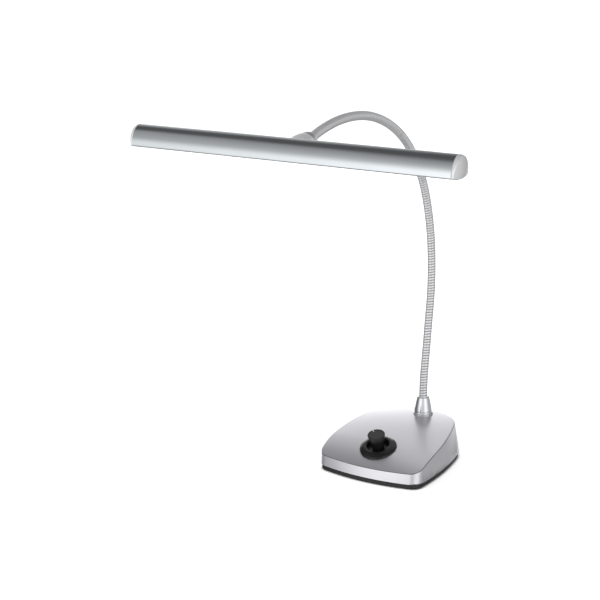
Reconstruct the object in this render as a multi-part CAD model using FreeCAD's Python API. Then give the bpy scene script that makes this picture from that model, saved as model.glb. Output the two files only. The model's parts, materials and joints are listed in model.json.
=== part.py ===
import FreeCAD, Part
import math
import os
from FreeCAD import Placement, Rotation, Vector

# Piano lamp with a weighted wedge base, a bending ribbed neck and a long bar head.
# Millimetres, +Z up, +Y to the back. The origin lies on the floor in the middle of the base's width,
# at the line from which the outline's front and back are measured.

# Base outline at the foot of the housing: four bowed sides with rounded corners
low_half_width = 70.35
low_widest_y = -17.7
low_side_radius = 352.2
low_front = 74.7
low_front_radius = 241.5
low_front_corner = 15.0
low_back = 86.0
low_back_radius = 138.0
low_back_corner = 42.8

# The same outline at outline_top, above the crown; the walls run straight between the two
outline_top = 50.0
high_half_width = 69.15
high_widest_y = -34.8
high_side_radius = 267.4
high_front = 70.0
high_front_radius = 330.0
high_front_corner = 16.1
high_back = 82.0
high_back_radius = 146.0
high_back_corner = 31.5

# Crown: a tight barrel at the front and a flat one at the back, tangent along a joint line
crown_join_y = -25.0
crown_join_z = 37.3
crown_join_slope = 9.2
crown_front_radius = 127.6
crown_back_radius = 539.4
crown_side_radius = 621.0
crown_depth = 45.0

# Base housing
pad_thickness = 1.2
pad_proud = 0.3
pad_margin = 12.0
pad_clearance = 0.3
plate_top = 6.7
plate_inset = 1.15
plate_wall = 3.5
plate_floor = 2.0
plate_lip_inset = 3.1
plate_lip_height = 2.5
plate_edge_radius = 1.5
shell_wall = 2.5
crease_radius = 1.1
cut_overrun = 20.0

# Screws that close the base
post_radius = 4.0
post_clearance = 0.2
front_post_inset = 18.4
front_post_back = 27.7
back_post_inset = 30.3
back_post_front = 28.0
screw_boss_floor = 1.9
screw_head_clearance = 0.1
base_screw_radius = 1.5
base_screw_head_radius = 3.0
base_screw_head_height = 2.0
base_screw_length = 12.0

# Ballast
ballast_side_margin = 28.4
ballast_end_margin = 36.4
ballast_thickness = 12.0
ballast_corner_radius = 8.0
ballast_screw_inset = 7.0
ballast_screw_clearance = 0.3
ballast_screw_radius = 2.0
ballast_screw_head_radius = 3.6
ballast_screw_head_height = 2.2

# Driver board on the ballast
board_length = 56.0
board_width = 34.0
board_thickness = 1.6
board_offset = 10.0
board_hole_inset = 3.5
standoff_height = 4.0
standoff_radius = 2.5
board_screw_radius = 1.2
board_screw_head_radius = 2.2
board_screw_head_height = 1.4

# Dimmer knob and its bezel, about an axis square to the crown
knob_x = 1.3
knob_y = -41.3
bezel_radius = 21.7
bezel_edge = 0.4
bezel_seat_depth = 1.6
bezel_crest_radius = 15.2
bezel_crest_height = 4.0
bezel_well_radius = 12.8
bezel_well_depth = 2.0
bezel_floor = 2.0
bezel_body_radius = 15.0
bezel_clearance = 0.2
knob_top_height = 19.3
knob_top_radius = 10.5
knob_side_height = 10.3
knob_side_radius = 8.7
knob_skirt_radius = 7.4
knob_skirt_gap = 1.2
knob_edge_radius = 0.9
knob_hollow_radius = 6.6
knob_hollow_top = 4.0
pointer_length = 3.2
pointer_width = 1.0
pointer_depth = 0.5
pointer_angle = 52.0
shaft_radius = 3.0
shaft_top = 15.0
bushing_radius = 3.5
bushing_top = 1.6
pot_radius = 8.0
pot_height = 8.0
pot_nut_across_flats = 10.0
pot_nut_height = 2.0
running_clearance = 0.05

# Power inlet in the back wall
jack_x = -28.0
jack_z = 18.0
jack_flange_radius = 5.6
jack_flange_thickness = 1.4
jack_body_radius = 4.0
jack_body_length = 13.0
jack_socket_radius = 3.0
jack_socket_depth = 9.5
jack_pin_radius = 1.0
jack_recess = 1.7
jack_boss_width = 1.8
jack_clearance = 0.2

# Collar at the foot of the neck
collar_x = 6.5
collar_from_back = 20.4
collar_lean = -0.6
collar_flange_radius = 12.35
collar_flange_thickness = 1.4
collar_foot_radius = 10.9
collar_foot_height = 2.8
collar_top_radius = 7.6
collar_height = 22.6
collar_bulge = 0.25
collar_edge_round = 1.2
collar_bore_clearance = 0.1
stud_top = 6.0
stud_radius = 4.9
stud_bottom = -14.0
stud_clearance = 0.2
stud_seat = -6.0
stud_seat_radius = 11.0
washer_radius = 9.0
washer_thickness = 1.5
locknut_across_flats = 14.0
locknut_height = 4.5

# Neck: a root in the collar and links that turn on ball ends
neck_radius = 5.0
neck_bore_radius = 2.5
neck_root_height = 28.3
neck_link_length = 70.69
neck_bends = (14.79, -14.51, -10.22, -21.14, -20.44, -23.08, -14.07, -18.82)
link_end_straight = 6.0
ball_radius = 4.2
ball_bore_radius = 2.0
ball_clearance = 0.3
cup_rim = 0.5
link_swing = 15.0

# Knuckle at the head end of the neck
neck_seat = 5.0
ferrule_length = 13.0
ferrule_neck_radius = 6.0
ferrule_boss_radius = 11.0
ferrule_bulge = 0.45
spigot_radius = 4.5
spigot_length = 9.0
clip_groove_depth = 0.6
clip_thickness = 0.8
clip_radius = 5.7

# Boss behind the head
boss_gap = 0.3
boss_back_radius = 11.3
boss_middle_radius = 14.1
boss_front_radius = 14.2
boss_front_reach = 36.0
boss_low = -1.0
boss_bearing_length = 6.0
boss_cavity_radius = 6.2
boss_cavity_length = 4.0
boss_wire_radius = 3.2
boss_screw_x = 7.0
boss_screw_y = 4.8
boss_screw_radius = 1.2
boss_screw_head_radius = 2.3
boss_screw_head_height = 1.5
boss_screw_depth = 5.0
boss_screw_lift = 0.1

# Head: extruded profile with a domed top and a bowed underside
head_reach = 46.7
head_tilt = 0.0
head_length = 381.4
head_width = 33.8
dome_height = 19.8
dome_top_radius = 14.9
head_corner_radius = 2.1
underside_radius = 53.0
head_wall = 1.6
web_height = 4.5
web_thickness = 1.5
diffuser_opening = 25.0
diffuser_flange = 1.3
diffuser_thickness = 1.6
diffuser_clearance = 0.15
end_cap_thickness = 2.6
end_cap_edge_radius = 1.4
end_cap_tongue = 6.0
end_cap_clearance = 0.15

# Light source
led_board_width = 18.0
led_board_thickness = 1.6
led_board_margin = 8.0
led_count = 36
led_length = 3.5
led_width = 2.8
led_height = 0.7

x_axis = Vector(1, 0, 0)
y_axis = Vector(0, 1, 0)
z_axis = Vector(0, 0, 1)


def cylinder(radius, low, high, at=(0, 0)):
    return Part.makeCylinder(radius, high - low, Vector(at[0], at[1], low), z_axis)


def ring(outer, inner, low, high, at=(0, 0)):
    return cylinder(outer, low, high, at).cut(cylinder(inner, low - 1, high + 1, at))


def hexagon(across_flats, low, high):
    corner = across_flats / math.sqrt(3)
    points = [Vector(corner * math.cos(math.radians(60 * i)), corner * math.sin(math.radians(60 * i)), low)
              for i in range(7)]
    return Part.Face(Part.makePolygon(points)).extrude(Vector(0, 0, high - low))


def turned(edges):
    """Solid of revolution about Z from edges drawn in the XZ plane."""
    return Part.Face(Part.Wire(edges)).revolve(Vector(0, 0, 0), z_axis, 360)


def line(start, end):
    return Part.makeLine(Vector(start[0], 0, start[1]), Vector(end[0], 0, end[1]))


def curve(start, middle, end):
    return Part.Arc(*[Vector(p[0], 0, p[1]) for p in (start, middle, end)]).toShape()


def placed(shape, placement):
    copy = shape.copy()
    copy.Placement = placement.multiply(copy.Placement)
    return copy


def group(solids):
    return Part.makeCompound(solids)


def save(name, shape):
    shape.exportStep("parts/%s.step" % name)
    print("%-16s solids %2d  volume %9.1f" % (name, len(shape.Solids), shape.Volume), shape.isValid())


def outline_sides(half_width, widest_y, side_radius, front, front_radius, back, back_radius):
    """Front, right, back and left side circles of the base, each a centre and a radius."""
    return [
        (Vector(0, front_radius - front, 0), front_radius),
        (Vector(half_width - side_radius, widest_y, 0), side_radius),
        (Vector(0, back - back_radius, 0), back_radius),
        (Vector(side_radius - half_width, widest_y, 0), side_radius),
    ]


low_sides = outline_sides(low_half_width, low_widest_y, low_side_radius, low_front, low_front_radius,
                          low_back, low_back_radius)
high_sides = outline_sides(high_half_width, high_widest_y, high_side_radius, high_front, high_front_radius,
                           high_back, high_back_radius)
low_corners = (low_front_corner, low_back_corner, low_back_corner, low_front_corner)
high_corners = (high_front_corner, high_back_corner, high_back_corner, high_front_corner)
corner_signs = ((1, -1), (1, 1), (-1, 1), (-1, -1))


def corner_centre(side, next_side, radius, near):
    """Centre of the corner arc that is tangent to two side circles from inside."""
    (c1, r1), (c2, r2) = side, next_side
    d1, d2 = r1 - radius, r2 - radius
    gap = c2 - c1
    along = (d1 ** 2 - d2 ** 2 + gap.Length ** 2) / (2 * gap.Length)
    across = math.sqrt(d1 ** 2 - along ** 2)
    unit = gap / gap.Length
    normal = Vector(-unit.y, unit.x, 0)
    choices = [c1 + unit * along + normal * across, c1 + unit * along - normal * across]
    return min(choices, key=lambda p: (p - near).Length)


def arc_between(centre, radius, start, end, height):
    """Arc of a circle from the direction of start to the direction of end, the short way round."""
    middle = (start - centre).normalize() + (end - centre).normalize()
    level = centre + Vector(0, 0, height)
    points = [level + direction.normalize() * radius for direction in (start - centre, middle, end - centre)]
    return Part.Arc(*points).toShape()


def outline(sides, radii, inset, height):
    """Base outline, moved in by inset all round, as a wire at a height."""
    corners = []
    for index, radius in enumerate(radii):
        near = Vector(corner_signs[index][0] * low_half_width, corner_signs[index][1] * low_front, 0)
        centre = corner_centre(sides[index], sides[(index + 1) % 4], radius, near)
        corners.append((centre, radius))
    edges = []
    for index in range(4):
        side_centre, side_radius = sides[index]
        before, after = corners[index - 1][0], corners[index][0]
        next_centre = sides[(index + 1) % 4][0]
        centre, radius = corners[index]
        edges.append(arc_between(side_centre, side_radius - inset, before, after, height))
        start = centre + (centre - side_centre)
        end = centre + (centre - next_centre)
        edges.append(arc_between(centre, radius - inset, start, end, height))
    return Part.Wire(edges)


def straight_prism(inset, low, high):
    return Part.Face(outline(low_sides, low_corners, inset, low)).extrude(Vector(0, 0, high - low))


def housing_prism(inset):
    """Body between the low and the high outline, both moved in by inset."""
    wires = [outline(low_sides, low_corners, inset, plate_top),
             outline(high_sides, high_corners, inset, outline_top)]
    return Part.makeLoft(wires, True, True)


crown_join = Vector(0, crown_join_y, crown_join_z)
join_angle = math.radians(crown_join_slope)
crown_up = Vector(0, -math.sin(join_angle), math.cos(join_angle))
crown_along = Vector(0, math.cos(join_angle), math.sin(join_angle))


def crown_height(x, y):
    sag = crown_side_radius - math.sqrt(crown_side_radius ** 2 - x ** 2)
    for radius in (crown_front_radius, crown_back_radius):
        centre = crown_join - crown_up * radius
        height = centre.z + math.sqrt((radius - sag) ** 2 - (y - centre.y) ** 2)
        if (Vector(0, y, height) - crown_join).dot(crown_along) < 0:
            break
    return height


def crown_normal(x, y):
    step = 0.01
    slope_x = (crown_height(x + step, y) - crown_height(x - step, y)) / (2 * step)
    slope_y = (crown_height(x, y + step) - crown_height(x, y - step)) / (2 * step)
    return Vector(-slope_x, -slope_y, 1).normalize()


def crown_sector(radius, drop, angle):
    """One barrel of the crown, turned by angle degrees from the joint plane about its own axis."""
    reach = low_half_width + cut_overrun
    side = crown_side_radius - drop
    top = radius - drop
    edge = top - side + math.sqrt(side ** 2 - reach ** 2)
    floor = radius - crown_depth
    edges = [
        line((-reach, floor), (reach, floor)),
        line((reach, floor), (reach, edge)),
        curve((reach, edge), (0, top), (-reach, edge)),
        line((-reach, edge), (-reach, floor)),
    ]
    sector = Part.Face(Part.Wire(edges)).revolve(Vector(0, 0, 0), x_axis, angle)
    return placed(sector, Placement(crown_join - crown_up * radius, Rotation(x_axis, crown_join_slope)))


def crown_solid(drop):
    """Body whose upper face is the crown, lowered by drop."""
    front_angle = math.degrees((low_front + crown_join_y + 2 * cut_overrun) / crown_front_radius)
    back_angle = math.degrees((low_back - crown_join_y + 2 * cut_overrun) / crown_back_radius)
    front = crown_sector(crown_front_radius, drop, front_angle)
    return front.fuse(crown_sector(crown_back_radius, drop, -back_angle))


def on_crown(point):
    return abs(point.z - crown_height(point.x, point.y)) < 0.01


def crown_placement(x, y, normal):
    return Placement(Vector(x, y, crown_height(x, y)), Rotation(z_axis, normal))


knob_place = crown_placement(knob_x, knob_y, crown_normal(knob_x, knob_y))


collar_y = low_back - collar_from_back
collar_place = Placement(Vector(collar_x, collar_y, crown_height(collar_x, collar_y)),
                         Rotation(x_axis, -collar_lean))


def link_end(place, bend):
    """Frame at the far end of a link that starts at place."""
    arc_length = neck_link_length - 2 * link_end_straight
    turn = math.radians(bend)
    if abs(turn) < 1e-4:
        step = Vector(0, 0, arc_length)
    else:
        radius = arc_length / turn
        step = Vector(0, radius * (1 - math.cos(turn)), radius * math.sin(turn))
    middle = Vector(0, 0, link_end_straight) + step
    tip = middle + Vector(0, math.sin(turn), math.cos(turn)) * link_end_straight
    return place.multiply(Placement(tip, Rotation(x_axis, -bend)))


link_places = [collar_place.multiply(Placement(Vector(0, 0, neck_root_height), Rotation()))]
for bend_angle in neck_bends:
    link_places.append(link_end(link_places[-1], bend_angle))
neck_end_place = link_places[-1]
ball_gap = ((cup_rim + ball_clearance) * math.cos(math.radians(link_swing))
            + neck_radius * math.sin(math.radians(link_swing)))

# The head's frame: X along the bar, Y to its back, Z up, with its origin on the boss axis
head_origin = neck_end_place.multVec(Vector(0, 0, head_reach))
head_place = Placement(head_origin, Rotation(x_axis, head_tilt))
boss_place = neck_end_place


def wall_y(x, z):
    """Where the back wall stands at a width and a height."""
    share = (z - plate_top) / (outline_top - plate_top)
    low, high = [sides[2][0].y + math.sqrt(sides[2][1] ** 2 - x ** 2) for sides in (low_sides, high_sides)]
    return low + share * (high - low)


jack_recess_y = wall_y(jack_x, jack_z) - jack_recess


def jack_cylinder(radius, start, end):
    return Part.makeCylinder(radius, end - start, Vector(jack_x, start, jack_z), y_axis)


def jack_hole():
    outside = jack_recess_y + cut_overrun
    hole = jack_cylinder(jack_body_radius + jack_clearance, jack_recess_y - cut_overrun, outside)
    return hole.fuse(jack_cylinder(jack_flange_radius + jack_clearance, jack_recess_y, outside))


def post_positions():
    front = (low_half_width - front_post_inset, front_post_back - low_front)
    back = (low_half_width - back_post_inset, low_back - back_post_front)
    return [(side * x, y) for x, y in (front, back) for side in (-1, 1)]


plate_low = pad_proud
screw_seat = pad_thickness + screw_head_clearance + base_screw_head_height
screw_boss_top = screw_seat + screw_boss_floor


def base_shell():
    outer = housing_prism(0).common(crown_solid(0))
    crease = [edge for edge in outer.Edges if all(on_crown(vertex.Point) for vertex in edge.Vertexes)
              and on_crown(edge.valueAt((edge.FirstParameter + edge.LastParameter) / 2))
              and not inside_crown(edge)]
    outer = outer.makeFillet(crease_radius, crease)
    hollow = housing_prism(shell_wall).common(crown_solid(shell_wall))
    post_low = screw_boss_top + post_clearance
    posts = [cylinder(post_radius, post_low, outline_top, at) for at in post_positions()]
    seat = placed(cylinder(stud_seat_radius, stud_seat, 0), collar_place)
    jack_boss = jack_cylinder(jack_flange_radius + jack_boss_width, jack_recess_y - shell_wall, low_back)
    inside = hollow.common(posts[0].fuse(posts[1:] + [seat, jack_boss]))
    shell = outer.cut(hollow).fuse(inside)
    for at in post_positions():
        shell = shell.cut(cylinder(base_screw_radius, 0, base_screw_length, at))
    bezel_hole = cylinder(bezel_body_radius + bezel_clearance, -cut_overrun, cut_overrun)
    stud_hole = cylinder(stud_radius + stud_clearance, -cut_overrun, cut_overrun)
    shell = shell.cut(placed(bezel_hole, knob_place)).cut(placed(stud_hole, collar_place))
    shell = shell.cut(above_seat(bezel_radius + bezel_clearance, bezel_body_radius))
    return shell.cut(jack_hole()).removeSplitter()


def inside_crown(edge):
    """True for the crown's joint line, which is no crease."""
    middle = edge.valueAt((edge.FirstParameter + edge.LastParameter) / 2)
    return abs((middle - crown_join).dot(crown_along)) < 0.01


def above_seat(outer, inner):
    """Ring round the knob's axis, above the crown lowered by the depth of the bezel's seat."""
    band = placed(ring(outer, inner, -crown_depth / 2, cut_overrun), knob_place)
    return band.cut(crown_solid(bezel_seat_depth))


def base_plate():
    plate = straight_prism(plate_inset, plate_low, plate_top)
    lower_edges = [edge for edge in plate.Edges if edge.BoundBox.ZMax < plate_low + 0.01]
    plate = plate.makeFillet(plate_edge_radius, lower_edges)
    lip_top = plate_top + plate_lip_height
    plate = plate.fuse(straight_prism(plate_lip_inset, ballast_low, lip_top))
    plate = plate.cut(straight_prism(plate_inset + plate_wall, ballast_low, lip_top + cut_overrun))
    plate = plate.cut(straight_prism(pad_margin - pad_clearance, 0, pad_thickness))
    for at in post_positions():
        plate = plate.fuse(cylinder(post_radius + 1, pad_thickness, screw_boss_top, at))
        plate = plate.cut(cylinder(base_screw_head_radius + 0.3, 0, screw_seat, at))
        plate = plate.cut(cylinder(base_screw_radius + 0.2, 0, plate_top, at))
    for at in ballast_screw_positions():
        plate = plate.cut(cylinder(ballast_screw_radius, pad_thickness, plate_top, at))
    return plate.removeSplitter()


def anti_slip_pad():
    return straight_prism(pad_margin, 0, pad_thickness)


def base_screws():
    screws = []
    for at in post_positions():
        head = cylinder(base_screw_head_radius, screw_seat - base_screw_head_height, screw_seat, at)
        screws.append(head.fuse(cylinder(base_screw_radius, screw_seat, base_screw_length - 1, at)))
    return group(screws)


ballast_low = pad_thickness + plate_floor
ballast_top = ballast_low + ballast_thickness
ballast_y = (low_back - low_front) / 2
ballast_half_width = low_half_width - ballast_side_margin
ballast_half_depth = (low_back + low_front) / 2 - ballast_end_margin


def ballast_screw_positions():
    x = ballast_half_width - ballast_screw_inset
    return [(-x, ballast_y), (x, ballast_y)]


def ballast_plate():
    plate = Part.makeBox(2 * ballast_half_width, 2 * ballast_half_depth, ballast_thickness,
                         Vector(-ballast_half_width, ballast_y - ballast_half_depth, ballast_low))
    upright = [edge for edge in plate.Edges if edge.BoundBox.ZLength > ballast_thickness / 2]
    plate = plate.makeFillet(ballast_corner_radius, upright)
    for at in ballast_screw_positions():
        plate = plate.cut(cylinder(ballast_screw_radius + ballast_screw_clearance, 0, ballast_top + 1, at))
    for at in standoff_positions():
        plate = plate.cut(cylinder(board_screw_radius, ballast_top - 5, ballast_top + 1, at))
    return plate


def ballast_screws():
    screws = []
    for at in ballast_screw_positions():
        head = cylinder(ballast_screw_head_radius, ballast_top, ballast_top + ballast_screw_head_height, at)
        screws.append(head.fuse(cylinder(ballast_screw_radius, pad_thickness, ballast_top, at)))
    return group(screws)


board_y = ballast_y + board_offset


def standoff_positions():
    half_x = board_length / 2 - board_hole_inset
    half_y = board_width / 2 - board_hole_inset
    return [(x, board_y + y) for x in (-half_x, half_x) for y in (-half_y, half_y)]


board_low = ballast_top + standoff_height
board_top = board_low + board_thickness


def driver_board():
    board = Part.makeBox(board_length, board_width, board_thickness,
                         Vector(-board_length / 2, board_y - board_width / 2, board_low))
    for at in standoff_positions():
        board = board.cut(cylinder(board_screw_radius + 0.2, board_low - 1, board_top + 1, at))
    return board


def board_standoffs():
    return group([ring(standoff_radius, board_screw_radius + 0.1, ballast_top, board_low, at)
                  for at in standoff_positions()])


def board_screws():
    screws = []
    for at in standoff_positions():
        head = cylinder(board_screw_head_radius, board_top, board_top + board_screw_head_height, at)
        screws.append(head.fuse(cylinder(board_screw_radius, ballast_top - 4, board_top, at)))
    return group(screws)


def board_parts():
    """Coil, two capacitors and a driver chip that stand on the board."""
    coil = ring(6.0, 2.2, board_top, board_top + 6.5, (-12, board_y))
    cans = [cylinder(3.2, board_top, board_top + 8.0, (x, board_y + 6)) for x in (4, 13)]
    chip = Part.makeBox(6, 5, 1.6, Vector(5, board_y - 9, board_top))
    return group([coil] + cans + [chip])


def knob_bezel():
    top = (bezel_crest_radius, bezel_crest_height)
    rim = (bezel_radius, bezel_edge)
    middle = (bezel_crest_radius + 0.72 * (bezel_radius - bezel_crest_radius),
              bezel_edge + 0.66 * (bezel_crest_height - bezel_edge))
    inner_top = (bezel_crest_radius - 1.4, bezel_crest_height - 0.5)
    inner_middle = (bezel_crest_radius - 0.8, bezel_crest_height - 0.02)
    floor_top = -bezel_well_depth
    floor_low = floor_top - bezel_floor
    points = [inner_top, (bezel_well_radius, floor_top), (bushing_radius + 0.1, floor_top),
              (bushing_radius + 0.1, floor_low), (bezel_radius, floor_low), rim]
    edges = [line(start, end) for start, end in zip(points, points[1:])]
    edges.append(curve(rim, middle, top))
    edges.append(curve(top, inner_middle, inner_top))
    under = placed(ring(bezel_radius + 1, bezel_body_radius, 2 * floor_low, cut_overrun), knob_place)
    return placed(turned(edges), knob_place).cut(under.common(crown_solid(bezel_seat_depth)))


pot_top = -bezel_well_depth - bezel_floor


def dimmer_pot():
    body = cylinder(pot_radius, pot_top - pot_height, pot_top)
    bushing = cylinder(bushing_radius, pot_top, bushing_top)
    bore = cylinder(shaft_radius + running_clearance, pot_top - 2, bushing_top + 1)
    return placed(body.fuse(bushing).cut(bore), knob_place)


def pot_nut():
    low = -bezel_well_depth
    nut = hexagon(pot_nut_across_flats, low, low + pot_nut_height)
    return placed(nut.cut(cylinder(bushing_radius + 0.05, low - 1, low + 5)), knob_place)


def pot_shaft():
    return placed(cylinder(shaft_radius, pot_top - 1.8, shaft_top), knob_place)


def pointer_bar(clearance):
    half = pointer_width / 2
    start = knob_top_radius - knob_edge_radius - pointer_length
    bar = Part.makeBox(2 * half, pointer_length + 2 * knob_edge_radius, pointer_depth + clearance,
                       Vector(-half, start, knob_top_height - pointer_depth))
    bar.rotate(Vector(0, 0, 0), z_axis, pointer_angle)
    return bar


def knob_body():
    side_low = knob_top_height - knob_side_height
    top_edge = (knob_top_radius - knob_edge_radius, knob_top_height)
    edge_middle = (knob_top_radius - 0.29 * knob_edge_radius, knob_top_height - 0.29 * knob_edge_radius)
    edge_low = (knob_top_radius, knob_top_height - knob_edge_radius)
    skirt_low = -bezel_well_depth + knob_skirt_gap
    lower = [edge_low, (knob_side_radius, side_low), (knob_skirt_radius, side_low - 0.6),
             (knob_skirt_radius, skirt_low), (0, skirt_low), (0, knob_top_height)]
    edges = [line((0, knob_top_height), top_edge), curve(top_edge, edge_middle, edge_low)]
    edges += [line(start, end) for start, end in zip(lower, lower[1:])]
    return turned(edges)


def dimmer_knob():
    body = knob_body()
    body = body.cut(cylinder(knob_hollow_radius, -5, knob_hollow_top))
    body = body.cut(cylinder(shaft_radius, 0, shaft_top))
    return placed(body.cut(pointer_bar(1.0)), knob_place)


def knob_pointer():
    return placed(knob_body().common(pointer_bar(0)), knob_place)


def dc_jack():
    face = jack_recess_y + jack_flange_thickness
    jack = jack_cylinder(jack_flange_radius, jack_recess_y, face)
    jack = jack.fuse(jack_cylinder(jack_body_radius, face - jack_body_length, face))
    jack = jack.cut(jack_cylinder(jack_socket_radius, face - jack_socket_depth, face + 1))
    return jack.cut(jack_cylinder(jack_pin_radius, face - jack_socket_depth - 2, face))


def jack_pin():
    face = jack_recess_y + jack_flange_thickness
    return jack_cylinder(jack_pin_radius, face - jack_socket_depth - 2, face - 1)


def neck_collar():
    foot = collar_flange_thickness + collar_foot_height
    flare_middle = (collar_foot_radius + 0.35, collar_flange_thickness + 0.3 * collar_foot_height)
    edge_round = collar_edge_round
    cone_top = (collar_top_radius, collar_height - edge_round)
    cone_middle = ((collar_foot_radius + collar_top_radius) / 2 + collar_bulge, (foot + cone_top[1]) / 2)
    bore = neck_radius + collar_bore_clearance
    flange_middle = collar_flange_thickness / 2
    edges = [
        line((bore, -3), (collar_flange_radius - 0.3, -3)),
        line((collar_flange_radius - 0.3, -3), (collar_flange_radius - 0.3, 0)),
        curve((collar_flange_radius - 0.3, 0), (collar_flange_radius, flange_middle),
              (collar_flange_radius - 0.5, collar_flange_thickness)),
        curve((collar_flange_radius - 0.5, collar_flange_thickness), flare_middle,
              (collar_foot_radius, foot)),
        curve((collar_foot_radius, foot), cone_middle, cone_top),
        curve(cone_top, (collar_top_radius - 0.3 * edge_round, collar_height - 0.3 * edge_round),
              (collar_top_radius - edge_round, collar_height)),
        line((collar_top_radius - edge_round, collar_height), (bore, collar_height)),
        line((bore, collar_height), (bore, -3)),
    ]
    return placed(turned(edges), collar_place).cut(crown_solid(0))


def neck_stud():
    return placed(ring(stud_radius, neck_bore_radius, stud_bottom, stud_top), collar_place)


def stud_washer():
    washer = ring(washer_radius, stud_radius + 0.1, stud_seat - washer_thickness, stud_seat)
    return placed(washer, collar_place)


def stud_locknut():
    high = stud_seat - washer_thickness
    nut = hexagon(locknut_across_flats, high - locknut_height, high)
    return placed(nut.cut(cylinder(stud_radius + 0.05, high - 10, high + 1)), collar_place)


def tube(low, high):
    return ring(neck_radius, neck_bore_radius, low, high)


def ball_end(body, place):
    """Adds the ball that carries the next link, centred on place."""
    ball = placed(Part.makeSphere(ball_radius), place)
    bore = placed(cylinder(ball_bore_radius, -ball_gap - 3, ball_radius + 1), place)
    return body.fuse(ball).cut(bore)


def neck_root():
    body = placed(tube(stud_top, neck_root_height - ball_gap), collar_place)
    return ball_end(body, link_places[0])


def bent_tube(bend):
    """Middle stretch of a link: a tube that turns by bend degrees."""
    arc_length = neck_link_length - 2 * link_end_straight
    if abs(bend) < 0.01:
        return tube(link_end_straight, link_end_straight + arc_length)
    radius = arc_length / math.radians(abs(bend))
    side = 1 if bend > 0 else -1
    circles = [Part.Wire(Part.makeCircle(r, Vector(0, 0, link_end_straight), z_axis))
               for r in (neck_radius, neck_bore_radius)]
    face = Part.Face(circles[0]).cut(Part.Face(circles[1])).Faces[0]
    return face.revolve(Vector(0, side * radius, link_end_straight), Vector(-side, 0, 0), abs(bend))


def neck_link(index):
    bend = neck_bends[index]
    last = index == len(neck_bends) - 1
    start, end = link_places[index], link_places[index + 1]
    lower = placed(tube(-cup_rim, link_end_straight), start)
    middle = placed(bent_tube(bend), start)
    upper = placed(tube(-link_end_straight, neck_seat if last else -ball_gap), end)
    link = lower.fuse([middle, upper])
    link = link.cut(placed(Part.makeSphere(ball_radius + ball_clearance), start))
    return link if last else ball_end(link, end)


def neck_ferrule():
    """Knuckle that holds the neck's end and turns in the boss on its spigot."""
    length = ferrule_length
    groove_low = length + boss_gap + boss_bearing_length + 0.2
    groove_high = groove_low + clip_thickness
    spigot_end = length + spigot_length
    groove = spigot_radius - clip_groove_depth
    seat = neck_radius + collar_bore_clearance
    middle = ((ferrule_neck_radius + ferrule_boss_radius) / 2 + ferrule_bulge, length / 2)
    outer = [(spigot_radius, length), (spigot_radius, groove_low), (groove, groove_low),
             (groove, groove_high), (spigot_radius, groove_high),
             (spigot_radius, spigot_end), (neck_bore_radius, spigot_end),
             (neck_bore_radius, neck_seat), (seat, neck_seat), (seat, 0), (ferrule_neck_radius, 0)]
    edges = [line((ferrule_boss_radius, length), outer[0])]
    edges += [line(start, end) for start, end in zip(outer, outer[1:])]
    edges.append(curve((ferrule_neck_radius, 0), middle, (ferrule_boss_radius, length)))
    return placed(turned(edges), neck_end_place)


def swivel_clip():
    low = ferrule_length + boss_gap + boss_bearing_length + 0.2
    clip = ring(clip_radius, spigot_radius - clip_groove_depth, low, low + clip_thickness)
    return placed(clip, neck_end_place)


def head_section(inset):
    """Closed section of the bar in its own YZ plane: domed top, rounded corners, bowed underside."""
    def point(centre, radius, angle):
        return Vector(0, centre[0] + radius * math.cos(angle), centre[1] + radius * math.sin(angle))

    def arc(centre, radius, start, end):
        return Part.Arc(*[point(centre, radius, a) for a in (start, (start + end) / 2, end)]).toShape()

    half = head_width / 2
    rise = dome_height - dome_top_radius
    side_radius = (half ** 2 + rise ** 2 - dome_top_radius ** 2) / (2 * (half - dome_top_radius))
    side_centre = (half - side_radius, 0)
    side_angle = math.atan2(rise, side_radius - half)
    corner = max(head_corner_radius - inset, 0.4)
    corner_centre = (half - inset - corner, 0)
    under_radius = underside_radius - inset
    under_rise = math.sqrt((under_radius - corner) ** 2 - corner_centre[0] ** 2)
    under_angle = math.atan2(-under_rise, corner_centre[0])
    right = [
        arc(side_centre, side_radius - inset, 0, side_angle),
        arc(corner_centre, corner, under_angle, 0),
    ]
    top = arc((0, rise), dome_top_radius - inset, side_angle, math.pi - side_angle)
    bottom = arc((0, under_rise), under_radius, -math.pi - under_angle, under_angle)
    left = [edge.mirror(Vector(0, 0, 0), y_axis) for edge in right]
    return Part.Wire(Part.__sortEdges__(right + [top, bottom] + left))


def head_bar(inset, start, end):
    face = Part.Face(head_section(inset))
    face.translate(Vector(start, 0, 0))
    return face.extrude(Vector(end - start, 0, 0))


def slab(low, high, half_depth, start, end):
    return Part.makeBox(end - start, 2 * half_depth, high - low, Vector(start, -half_depth, low))


half_length = head_length / 2
profile_end = half_length - end_cap_thickness
lip_top = -head_corner_radius + head_wall
web_top = web_height + web_thickness


def upper_hollow(inset, start, end):
    above_web = slab(web_top + inset - head_wall, dome_height, head_width, start, end)
    return head_bar(inset, start, end).common(above_web)


def boss_local(shape):
    """Moves a shape from the boss frame into the head frame."""
    return placed(shape, head_place.inverse().multiply(boss_place))


def head_profile():
    start, end = -profile_end, profile_end
    bar = head_bar(0, start, end)
    lower = head_bar(head_wall, start, end).common(slab(lip_top, web_height, head_width, start, end))
    opening = slab(-cut_overrun, web_height, diffuser_opening / 2, start, end)
    bar = bar.cut(upper_hollow(head_wall, start, end)).cut(lower).cut(opening)
    above_web = slab(web_top, 2 * dome_height, head_width, -2 * boss_front_radius, 2 * boss_front_radius)
    holes = [cylinder(boss_wire_radius, ferrule_length, head_reach)]
    holes += [cylinder(boss_screw_radius + 0.2, ferrule_length, head_reach, at)
              for at in boss_screw_positions()]
    for hole in holes:
        bar = bar.cut(boss_local(hole).common(above_web))
    return placed(bar, head_place)


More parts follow.
